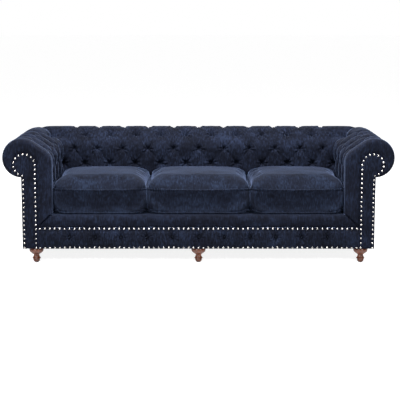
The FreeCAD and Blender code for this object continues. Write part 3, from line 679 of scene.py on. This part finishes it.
def armFacing(name, side):
    centre = np.array(facingScroll["centre"])
    radius = facingScroll["radius"] + 0.001
    innerEdge = centre[0] - radius
    outerEdge = panelHigh[0] + facingScroll["overhang"]
    endAngle = -math.acos((outerEdge - centre[0]) / radius)
    foot = facingLow[2]
    up = [(innerEdge, z) for z in np.linspace(foot, centre[1], 80)[:-1]]
    over = [tuple(centre + radius * np.array((math.cos(a), math.sin(a))))
            for a in np.linspace(math.pi, endAngle, 70)]
    down = [(outerEdge, z) for z in np.linspace(over[-1][1], foot, 70)[1:]]
    under = [(x, foot) for x in np.linspace(outerEdge, innerEdge, 14)[1:-1]]
    edge = np.array(up + over + down + under)
    middle = (innerEdge + outerEdge) / 2
    bend = centre[1] - 0.09
    share = smoothStep(edge[:, 1], bend, centre[1])
    spine = np.stack((middle + (centre[0] - middle) * share,
                      np.clip(edge[:, 1], foot + 0.03, bend) + (centre[1] - bend) * share), axis=1)
    loops = ((0.0, 0.010), (0.02, 0.003), (0.07, 0.0004), (0.16, -0.0003), (0.34, -0.0012),
             (0.6, -0.0018), (0.86, -0.0021), (1.0, -0.0021))
    grid = np.zeros((len(loops), len(edge), 3))
    for k, (f, back) in enumerate(loops):
        flat = edge + (spine - edge) * f
        grid[k, :, 0] = side * flat[:, 0]
        grid[k, :, 2] = flat[:, 1]
        grid[k, :, 1] = facingScroll["face"] + back
    ripple = wobble(grid.reshape(-1, 3), 30.0, 13).reshape(grid.shape[:2]) * 0.0007
    grid[3:, :, 1] -= ripple[3:]
    rim = grid[0].copy()
    rim[:, 1] = facingHigh[1]
    grid = np.concatenate((rim[None], grid))
    count = len(edge)
    faces = gridFaces(len(grid), count, closeColumns=True, flip=side > 0)
    back = tuple(range(count))
    faces.append(back if side > 0 else tuple(reversed(back)))
    return weld(addMesh(name, grid.reshape(-1, 3), faces, velvet))


for side, sign in (("left", -1), ("right", 1)):
    piece = armBand(side + "_arm_band_cover", sign)
    settle(piece, sofa, [side + "_arm_front_band"])
    piece = armFacing(side + "_arm_facing_cover", sign)
    settle(piece, sofa, [side + "_arm_facing"])
print("arm fronts covered")


# an edge roll lies under the cushions, with the buttoned border below it
borderLow, borderHigh = corners("front_border")
edgeRoll = {
    "step": 0.008,
    "round": 0.030,    # depth of its rounded front
    "blend": 0.035,    # how far from its ends it turns into the arm's band
    "crease": 0.004,   # depth of the mitre's crease
}
border = {
    "pitch": 0.162,    # from button to button
    "raise": 0.008,    # the buttons above the middle of the border
    "swell": 0.010,    # puff between the pleats
    "pleat": 0.006,    # depth of the upright pleats
    "dimple": 0.010,   # hollow round each button
    "gathers": 0.0022,
    "button": (0.0105, 0.006, 20, 5),  # radius, height, segments, rings
}


def frontEdgeRoll():
    reach = lipHigh[0]
    topReach = innerX
    tall = lipHigh[2] - lipLow[2]
    outline = []
    for k in range(26):
        angle = math.pi * 0.5 * (k / 25 * 2 - 1)
        outline.append((lipLow[1] + edgeRoll["round"] * (1 - math.cos(angle) ** 0.62),
                        lipLow[2] + tall / 2 * (1 + math.sin(angle))))
    start = lipLow[1] + edgeRoll["round"]
    outline += [(start + (lipHigh[1] - start) * f, lipHigh[2] + 0.002 * math.sin(math.pi * f))
                for f in np.linspace(0, 1, 8)[1:]]
    outline += [(lipHigh[1], lipLow[2] + 0.01), (lipLow[1] + 0.04, lipLow[2] + 0.004)]
    outline = np.array(outline)
    count = int(2 * reach / edgeRoll["step"])
    share = np.linspace(-1, 1, count)
    length = reach + (topReach - reach) * np.clip((outline[:, 1] - lipLow[2]) / tall, 0, 1)
    grid = np.zeros((count, len(outline), 3))
    grid[:, :, 0] = share[:, None] * length[None, :]
    grid[:, :, 1] = outline[None, :, 0]
    grid[:, :, 2] = outline[None, :, 1]
    spots = grid.reshape(-1, 3)
    soft = (wobble(spots * (1, 1, 0.4), 12.0, 21) * 0.0035 + wobble(spots, 45.0, 22) * 0.0009)
    soft = soft.reshape(grid.shape[:2])
    middle = np.sin(np.linspace(0, math.pi, 26)) ** 0.5
    grid[:, :26, 1] -= soft[:, :26] * middle
    # towards its ends the roll takes the band's profile, so the mitre closes to a thin crease
    nearEnd = ((1 - np.abs(share)) * reach)[:, None]
    across = math.hypot(tall, reach - topReach)
    turn = band["round"]
    along = np.clip((outline[:26, 1] - lipLow[2]) / tall, 0, 1) * across
    puff = band["bulge"] * np.sin(math.pi * np.clip(along / (across - turn), 0, 0.5)) ** 0.75
    past = np.clip(along - (across - turn), 0, turn)
    profile = band["seamY"] - puff + turn - np.sqrt(turn ** 2 - past ** 2)
    grid[:, :26, 1] += (profile - grid[:, :26, 1]) * np.exp(-(nearEnd / edgeRoll["blend"]) ** 2)
    grid[:, 1:25, 1] += edgeRoll["crease"] * np.exp(-nearEnd / 0.006)
    faces = gridFaces(count, len(outline), closeColumns=True) + endCaps(count, len(outline))
    return addMesh("front_edge_roll_cover", spots, faces, velvet)


def frontBorder():
    pitch = border["pitch"]
    reach = borderHigh[0]
    low, high = borderLow[2], borderHigh[2]
    middle = (low + high) / 2 + border["raise"]
    face = borderLow[1]
    x = np.linspace(-reach, reach, int(2 * reach / 0.004))
    z = np.linspace(low, high, 36)
    gx, gz = np.meshgrid(x, z, indexing="ij")
    spots = np.stack((gx, 0 * gx, gz), axis=-1).reshape(-1, 3)
    drift = wobble(spots, 14.0, 31).reshape(gx.shape) * 0.05
    fromButton = np.abs(gz - middle) / (high - middle)
    column = gx / pitch + drift * fromButton
    share = column - np.floor(column)
    ended = smoothStep(5.6 - np.abs(column), 0, 0.3)
    valley = (4 * share * (1 - share)) ** 0.42
    fade = 1 - smoothStep(fromButton, 0.45, 0.86)
    pleat = (1 - valley) * (0.25 + 0.75 * fade) * ended
    nearest = np.hypot(gx - np.round(gx / pitch) * pitch, gz - middle)
    dimple = np.exp(-(nearest / 0.016) ** 2) * (np.abs(gx) < 5.3 * pitch)
    turn = np.arctan2(gz - middle, gx - np.round(gx / pitch) * pitch)
    lobes = np.sin(9 * turn + 2.1 * np.round(gx / pitch)) + 0.5 * np.sin(14 * turn)
    gathers = lobes * np.exp(-((nearest - 0.024) / 0.016) ** 2) * (np.abs(gx) < 5.3 * pitch)
    swell = np.sin(math.pi * np.clip((gz - low) / (high - low), 0, 1)) ** 0.8
    ripple = wobble(spots, 34.0, 32).reshape(gx.shape) * 0.0012
    swell = swell * smoothStep(np.minimum(gz - low, high - gz), 0.013, 0.036)
    out = border["swell"] * swell * (1 - pleat) - border["pleat"] * pleat + ripple * swell
    out = out - border["dimple"] * dimple + border["gathers"] * gathers
    edge = smoothStep(np.minimum(gz - low, high - gz), 0.0, 0.005)
    y = face - out + 0.006 * (1 - edge)
    grid = np.stack((gx, y, gz), axis=-1)
    rear = np.stack((gx[:, [-1, 0]], np.full((len(x), 2), borderHigh[1]), gz[:, [-1, 0]]), axis=-1)
    grid = np.concatenate((grid, rear), axis=1)
    count = grid.shape[1]
    faces = gridFaces(len(x), count, closeColumns=True) + endCaps(len(x), count)
    piece = addMesh("front_border_cover", grid.reshape(-1, 3), faces, velvet)
    places = [(k * pitch, face + 0.0035, middle) for k in range(-5, 6)]
    return piece, places


edgeRollCover = frontEdgeRoll()
settle(edgeRollCover, sofa, ["front_edge_roll"])
borderCover, borderPlaces = frontBorder()
settle(borderCover, sofa, ["front_border"])
# the border buttons take the near-black velvet too, painted shade
borderButtons = joined("front_border_cover_buttons",
                       [domeAt(place, (0, -1, 0), *border["button"]) for place in borderPlaces],
                       paintedShadeButtonVelvet)
settle(borderButtons, sofa, ["border_buttons"])
print("front rail covered")


panel = {
    "outsidePuff": 0.003,
    "deckPuff": 0.002,
    "deckDrop": 0.003,   # from the top of the CAD deck down to the cover before it puffs
    "step": 0.012,
    "deckStep": 0.02,
}


def puffedPanel(name, low, high, axis, outward, puff, step):
    # a tight cover over a flat panel: axis is the thin direction, outward its shown side
    spread = [k for k in range(3) if k != axis]
    lengths = [high[k] - low[k] for k in spread]
    counts = [max(8, int(length / step)) for length in lengths]
    u, v = np.meshgrid(np.linspace(0, 1, counts[0]), np.linspace(0, 1, counts[1]), indexing="ij")
    face = high[axis] if outward > 0 else low[axis]
    grid = np.zeros(u.shape + (3,))
    grid[..., spread[0]] = low[spread[0]] + u * lengths[0]
    grid[..., spread[1]] = low[spread[1]] + v * lengths[1]
    edge = np.minimum(np.minimum(u, 1 - u) * lengths[0], np.minimum(v, 1 - v) * lengths[1])
    swell = puff * (1 - np.exp(-edge / 0.05)) - 0.004 * np.exp(-edge / 0.004)
    ripple = wobble(grid.reshape(-1, 3), 9.0, 41).reshape(u.shape) * 0.0012 * np.minimum(edge / 0.03, 1)
    grid[..., axis] = face + outward * (swell + ripple)
    rear = grid.copy()
    rear[..., axis] = (low[axis] if outward > 0 else high[axis])
    verts = np.concatenate((grid.reshape(-1, 3), rear.reshape(-1, 3)))
    n, m = u.shape
    start = n * m
    faces = gridFaces(n, m) + gridFaces(n, m, start=start, flip=True)
    rim = rimOf(n, m)
    faces += [(rim[k], rim[(k + 1) % len(rim)], start + rim[(k + 1) % len(rim)], start + rim[k])
              for k in range(len(rim))]
    return weld(addMesh(name, verts, faces, velvet))


for side, sign in (("left", -1), ("right", 1)):
    low, high = corners(side + "_outside_arm")
    piece = puffedPanel(side + "_outside_arm_cover", low, high, 0, sign, panel["outsidePuff"], panel["step"])
    settle(piece, sofa, [side + "_outside_arm"])
low, high = corners("outside_back")
piece = puffedPanel("outside_back_cover", low, high, 1, 1, panel["outsidePuff"], panel["step"])
settle(piece, sofa, ["outside_back"])
low, high = corners("seat_deck")
high[2] -= panel["deckDrop"]
piece = puffedPanel("seat_deck_cover", low, high, 2, 1, panel["deckPuff"], panel["deckStep"])
settle(piece, sofa, ["seat_deck"])
print("panels covered")


# loose seat cushions: boxed covers with corded edges, stuffed by a short cloth simulation
cushion = {
    "grid": 0.0105,         # mesh size
    "cornerRadius": 0.036,  # seen from above
    "boxTop": 0.470,        # height of the upper cord
    "boxBottom": 0.322,     # height of the lower cord
    "crown": 0.068,         # rise of the top panel over the cord
    "sag": 0.008,           # dip of the upper cord between the corners
    "sideBulge": 0.014,
    "pressure": 4.0,
    "frames": 20,
    "cap": 0.026,           # how far stuffing may move the cover
    "ease": -0.022,         # the panels are cut this much fuller than the cords
    "cord": 0.0048,         # radius of the cord
    "edgeSwell": 0.008,     # the outer front corners past the edge of the arm
    "fill": 0.85,
}


def cushionShell(low, high):
    middle = (low[:2] + high[:2]) / 2
    half = (high[:2] - low[:2]) / 2 - np.array((0.0005, 0.004))
    n, m = (int(round(2 * h / cushion["grid"])) + 1 for h in half)
    gx, gy = np.meshgrid(np.linspace(-1, 1, n), np.linspace(-1, 1, m), indexing="ij")
    x = gx * half[0]
    y = gy * half[1]
    # square corners drawn in to quarter rounds
    radius = cushion["cornerRadius"]
    dx = np.maximum(np.abs(x) - half[0] + radius, 0) / radius
    dy = np.maximum(np.abs(y) - half[1] + radius, 0) / radius
    x = x - np.sign(x) * radius * dx * (1 - np.sqrt(1 - dy * dy / 2))
    y = y - np.sign(y) * radius * dy * (1 - np.sqrt(1 - dx * dx / 2))
    fromSide = half[0] * (1 - np.abs(gx))
    fromFront = half[1] * (1 - np.abs(gy))
    overSide = np.minimum(fromSide / 0.038, 1)
    overFront = np.minimum(fromFront / 0.12, 1)
    shoulder = np.sqrt((1 - (1 - overSide) ** 2) * (1 - (1 - overFront) ** 2))
    dome = 0.75 * shoulder + 0.25 * (1 - gx * gx) * (1 - gy * gy)
    along = np.where(np.abs(gx) > np.abs(gy), gy, gx)
    dip = cushion["sag"] * (1 - np.abs(along) ** 2.0)
    top = np.stack((x, y, cushion["boxTop"] - dip + cushion["crown"] * dome), axis=-1).reshape(-1, 3)
    # the lower corners are rounded off too
    toCorner = np.hypot(fromSide, fromFront)
    tuck = np.exp(-(toCorner / 0.045) ** 2)
    foot = np.stack((x * (1 - 0.022 * tuck), y * (1 - 0.016 * tuck),
                     cushion["boxBottom"] - 0.004 * np.minimum(dome * 4, 1) + 0.016 * tuck),
                    axis=-1).reshape(-1, 3)
    rim = rimOf(n, m)
    upper = top[rim]
    lower = foot[rim]
    steps = 11
    rings = []
    for k in range(1, steps):
        f = k / steps
        ring = upper * (1 - f) + lower * f
        out = ring[:, :2] / half
        out /= np.linalg.norm(out, axis=1)[:, None]
        ring[:, :2] += out * cushion["sideBulge"] * math.sin(math.pi * f) ** 0.7
        rings.append(ring)
    verts = np.concatenate([top, foot] + rings)
    verts[:, :2] += middle
    count = n * m
    ringStart = [2 * count + k * len(rim) for k in range(steps - 1)]
    loops = [rim] + [[start + k for k in range(len(rim))] for start in ringStart]
    loops.append([count + k for k in rim])
    faces = gridFaces(n, m, flip=True) + gridFaces(n, m, start=count)
    for one, other in zip(loops, loops[1:]):
        faces += [(one[k], one[(k + 1) % len(rim)], other[(k + 1) % len(rim)], other[k])
                  for k in range(len(rim))]
    return verts, faces, loops


def stuff(piece, cordLoops):
    # air pressure rounds out the panels while the cords keep the box shape
    start = np.array([v.co for v in piece.data.vertices])
    cords = piece.vertex_groups.new(name="cords")
    cords.add([k for loop in cordLoops for k in loop], 0.75, "REPLACE")
    cloth = piece.modifiers.new("stuffing", "CLOTH")
    cloth.settings.quality = 6
    cloth.settings.mass = 0.25
    cloth.settings.tension_stiffness = 18
    cloth.settings.compression_stiffness = 18
    cloth.settings.shear_stiffness = 8
    cloth.settings.bending_stiffness = 0.4
    cloth.settings.use_pressure = True
    cloth.settings.uniform_pressure_force = cushion["pressure"]
    cloth.settings.vertex_group_mass = "cords"
    cloth.settings.pin_stiffness = 1.0
    cloth.settings.shrink_min = cushion["ease"]
    cloth.settings.effector_weights.gravity = 0
    cloth.collision_settings.use_collision = False
    cloth.point_cache.frame_start = 1
    cloth.point_cache.frame_end = cushion["frames"]
    for step in range(1, cushion["frames"] + 1):
        scene.frame_set(step)
    shaped = piece.evaluated_get(bpy.context.evaluated_depsgraph_get()).data
    moved = np.array([v.co for v in shaped.vertices]) - start
    scene.frame_set(1)
    piece.modifiers.remove(cloth)
    far = np.linalg.norm(moved, axis=1)
    moved *= (np.minimum(far, cushion["cap"]) / np.maximum(far, 1e-9))[:, None]
    print(piece.name, "moved up to %.1f mm, mean %.1f mm" % (far.max() * 1000, far.mean() * 1000))
    return start + moved


def tubeAlong(points, radius, segments):
    # a closed cord; each point is followed by the next and the last by the first
    count = len(points)
    ahead = np.roll(points, -1, axis=0) - np.roll(points, 1, axis=0)
    ahead /= np.linalg.norm(ahead, axis=1)[:, None]
    across = np.cross(ahead, (0, 0, 1))
    across /= np.linalg.norm(across, axis=1)[:, None]
    up = np.cross(across, ahead)
    turns = np.linspace(0, 2 * math.pi, segments, endpoint=False)
    rings = points[:, None] + radius * (across[:, None] * np.cos(turns)[None, :, None]
                                        + up[:, None] * np.sin(turns)[None, :, None])
    return [tuple(p) for p in rings.reshape(-1, 3)], gridFaces(count, segments, closeRows=True,
                                                               closeColumns=True)


def smoothLoop(points, passes):
    for _ in range(passes):
        points = (np.roll(points, 1, axis=0) + 2 * points + np.roll(points, -1, axis=0)) / 4
    return points


def heldIn(verts, low, high, room, outer):
    # it lies flat on the deck, and its neighbours and the arms keep its sides in
    middle = (low[0] + high[0]) / 2
    across = verts[:, 0] - middle
    verts[:, 0] = middle + np.sign(across) * np.minimum(np.abs(across), room)
    # the outer front corners swell past the rounded edge of the arm
    inFront = 1 - smoothStep(verts[:, 1], low[1] - 0.008, low[1] + 0.002)
    verts[:, 0] += outer * cushion["edgeSwell"] * inFront * smoothStep(across * outer, 0.2, 0.28)
    verts[:, 1] = np.clip(verts[:, 1], low[1] - 0.014, high[1])
    verts[:, 2] = np.maximum(verts[:, 2], low[2] + 0.0006)
    return verts


def puckered(verts, middle, ends):
    # the panels pucker where they are gathered on to the cords
    cordPoints = np.concatenate([verts[loop] for loop in ends])
    gather = wobble(verts * (1, 1, 0.12), 42.0, 51)
    fine = wobble(verts * (1, 1, 0.2), 95.0, 52)
    broad = wobble(verts, 8.0, 53)
    nearest = np.full(len(verts), 1.0)
    for k in range(0, len(cordPoints), 2):
        nearest = np.minimum(nearest, np.linalg.norm(verts - cordPoints[k], axis=1))
    outward = verts - middle
    outward[:, 2] = 0.12 * (verts[:, 2] > cushion["boxTop"] - 0.03)
    outward /= np.linalg.norm(outward, axis=1)[:, None]
    outward[:, 2] = 0
    onTop = verts[:, 2] > cushion["boxTop"] - 0.02
    direction = np.where(onTop[:, None], (0, 0, 1.0), outward)
    size = (gather * 0.0028 + fine * 0.0010) * np.exp(-nearest / 0.03) + broad * 0.0022
    size[verts[:, 2] < cushion["boxBottom"]] = 0
    for loop in ends:
        size[loop] = 0
    return verts + direction * size[:, None]


def levelAway(points, middle):
    # level directions away from the cushion's middle
    away = points - middle
    away[:, 2] = 0
    return away / np.linalg.norm(away, axis=1)[:, None]


def cordAlong(line, lift, low, high, room):
    middle = (low + high) / 2
    points = np.empty((2 * len(line), 3))
    points[0::2] = line
    points[1::2] = (line + np.roll(line, -1, axis=0)) / 2
    points = smoothLoop(points, 2)
    points = points + levelAway(points, middle) * 0.0012
    points[:, 2] = np.maximum(points[:, 2] + lift * cushion["cord"], low[2] + cushion["cord"])
    reach = room - cushion["cord"] + cushion["edgeSwell"] * (points[:, 1] < low[1])
    points[:, 0] = middle[0] + np.clip(points[:, 0] - middle[0], -reach, reach)
    points[:, 1] = np.minimum(points[:, 1], high[1] - cushion["cord"])
    return tubeAlong(points, cushion["cord"], 10)


def seatCushion(side, outer):
    low, high = corners(side + "_seat_cushion")
    verts, faces, loops = cushionShell(low, high)
    # the cover takes the paler velvet, painted light
    piece = addMesh(side + "_cushion_cover", verts, faces, paintedLightCushionVelvet)
    ends = (loops[0], loops[-1])
    verts = stuff(piece, ends)
    middle = (low + high) / 2
    room = (high[0] - low[0]) / 2 - 0.0006
    verts = puckered(heldIn(verts, low, high, room, outer), middle, ends)
    cords = []
    for loop, lift in zip(ends, (0.35, -0.2)):
        line = smoothLoop(verts[loop], 2)
        cords.append(cordAlong(line, lift, low, high, room))
        verts[loop] = line - levelAway(line, middle) * 0.0045
    piece.data.vertices.foreach_set("co", verts.reshape(-1))
    piece.data.update()
    finer = piece.modifiers.new("finer", "SUBSURF")
    finer.levels = 1
    finer.render_levels = 1
    body = side + "_cushion"
    settle(piece, body, [side + "_seat_cushion"])
    settle(joined(side + "_cushion_cords", cords, paintedLightCushionVelvet), body, [])


for side, outer in (("left", -1), ("centre", 0), ("right", 1)):
    seatCushion(side, outer)
print("cushions stuffed")


# the parts taken over from the CAD get their finishes by their slots
finishes = {
    "turned_wood": turnedWalnut,
    "frame_wood": sawnBeech,
    "nail_metal": nickelNail,
    "steel": springSteel,
    "webbing": juteWebbing,
    "dust_cloth": blackLining,
    "foam": foamCore,
    "glide_plastic": glidePlastic,
}
slotOf = {part["node"]: part["material_slot"] for part in frame["record"]["subparts"]}
for name, node in frame["nodes"].items():
    finish = finishes.get(slotOf[name], velvet)
    for k in range(len(node.data.materials)):
        node.material_slots[k].material = finish
# the lining is tacked under the rails
print("finishes given to the rest")


# Matt white background paper, lit through from below, so that shadows on it stay soft and pale.
def makePaper(name):
    material, tree, surface, place = newMaterial(name)
    # paper fibres about 2 mm long
    colour = rampOf(tree, noiseOf(tree, place, 500.0, 2.0), [(0.3, "#A8A8A8"), (0.7, "#B4B4B4")])
    tree.links.new(colour, surface.inputs["Base Color"])
    surface.inputs["Roughness"].default_value = 0.9
    surface.inputs["Emission Color"].default_value = (1, 1, 1, 1)
    surface.inputs["Emission Strength"].default_value = 0.85
    return material


floorReach = 60.0
floorSpots = np.linspace(-floorReach, floorReach, 9)
floor = addMesh("paper_floor", [(x, y, 0) for x in floorSpots for y in floorSpots],
                gridFaces(9, 9, flip=True), makePaper("whitePaper"))

# the room is bright near the horizon and dimmer overhead, so that the softbox above gives the shape
world = bpy.data.worlds.new("studio")
scene.world = world
world.use_nodes = True
skyTree = world.node_tree
direction = addNode(skyTree, "ShaderNodeTexCoord").outputs["Generated"]
height = addNode(skyTree, "ShaderNodeSeparateXYZ", inputs={"Vector": direction}).outputs["Z"]
glow = addNode(skyTree, "ShaderNodeMapRange", inputs={
    "Value": height, "From Min": 0.03, "From Max": 0.3, "To Min": 1.0, "To Max": 0.25})
skyTree.links.new(glow.outputs[0], skyTree.nodes["Background"].inputs["Strength"])
skyTree.nodes["Background"].inputs["Color"].default_value = (1, 1, 1, 1)

lamps = {
    "overhead": ((0.0, -0.9, 3.0), (0.0, -0.1, 0.4), 3.6, 1.0, 480),
    "key": ((-2.0, -3.6, 2.4), (0.0, 0.0, 0.4), 1.0, 1.0, 190),
    "fill": ((2.2, -3.6, 2.2), (0.0, 0.0, 0.4), 1.0, 1.0, 110),
    "rear": ((0.0, 3.4, 3.2), (0.0, 0.2, 0.5), 2.6, 1.2, 160),
}
for name, (place, target, wide, tall, watts) in lamps.items():
    light = bpy.data.lights.new(name, "AREA")
    light.shape = "RECTANGLE"
    light.size = wide
    light.size_y = tall
    light.energy = watts
    lamp = bpy.data.objects.new(name, light)
    lamp.location = place
    lamp.rotation_euler = (Vector(target) - Vector(place)).to_track_quat("-Z", "Y").to_euler()
    scene.collection.objects.link(lamp)

view = {"place": (0.0097, -7.72, 1.594), "downDegrees": 9.31, "lensMm": 105.9}
lens = bpy.data.cameras.new("studioCamera")
lens.lens = view["lensMm"]
lens.sensor_width = 36
camera = bpy.data.objects.new("studioCamera", lens)
camera.location = view["place"]
camera.rotation_euler = (math.radians(90 - view["downDegrees"]), 0, 0)
scene.collection.objects.link(camera)
scene.camera = camera
scene.view_settings.view_transform = "Standard"

print("done")
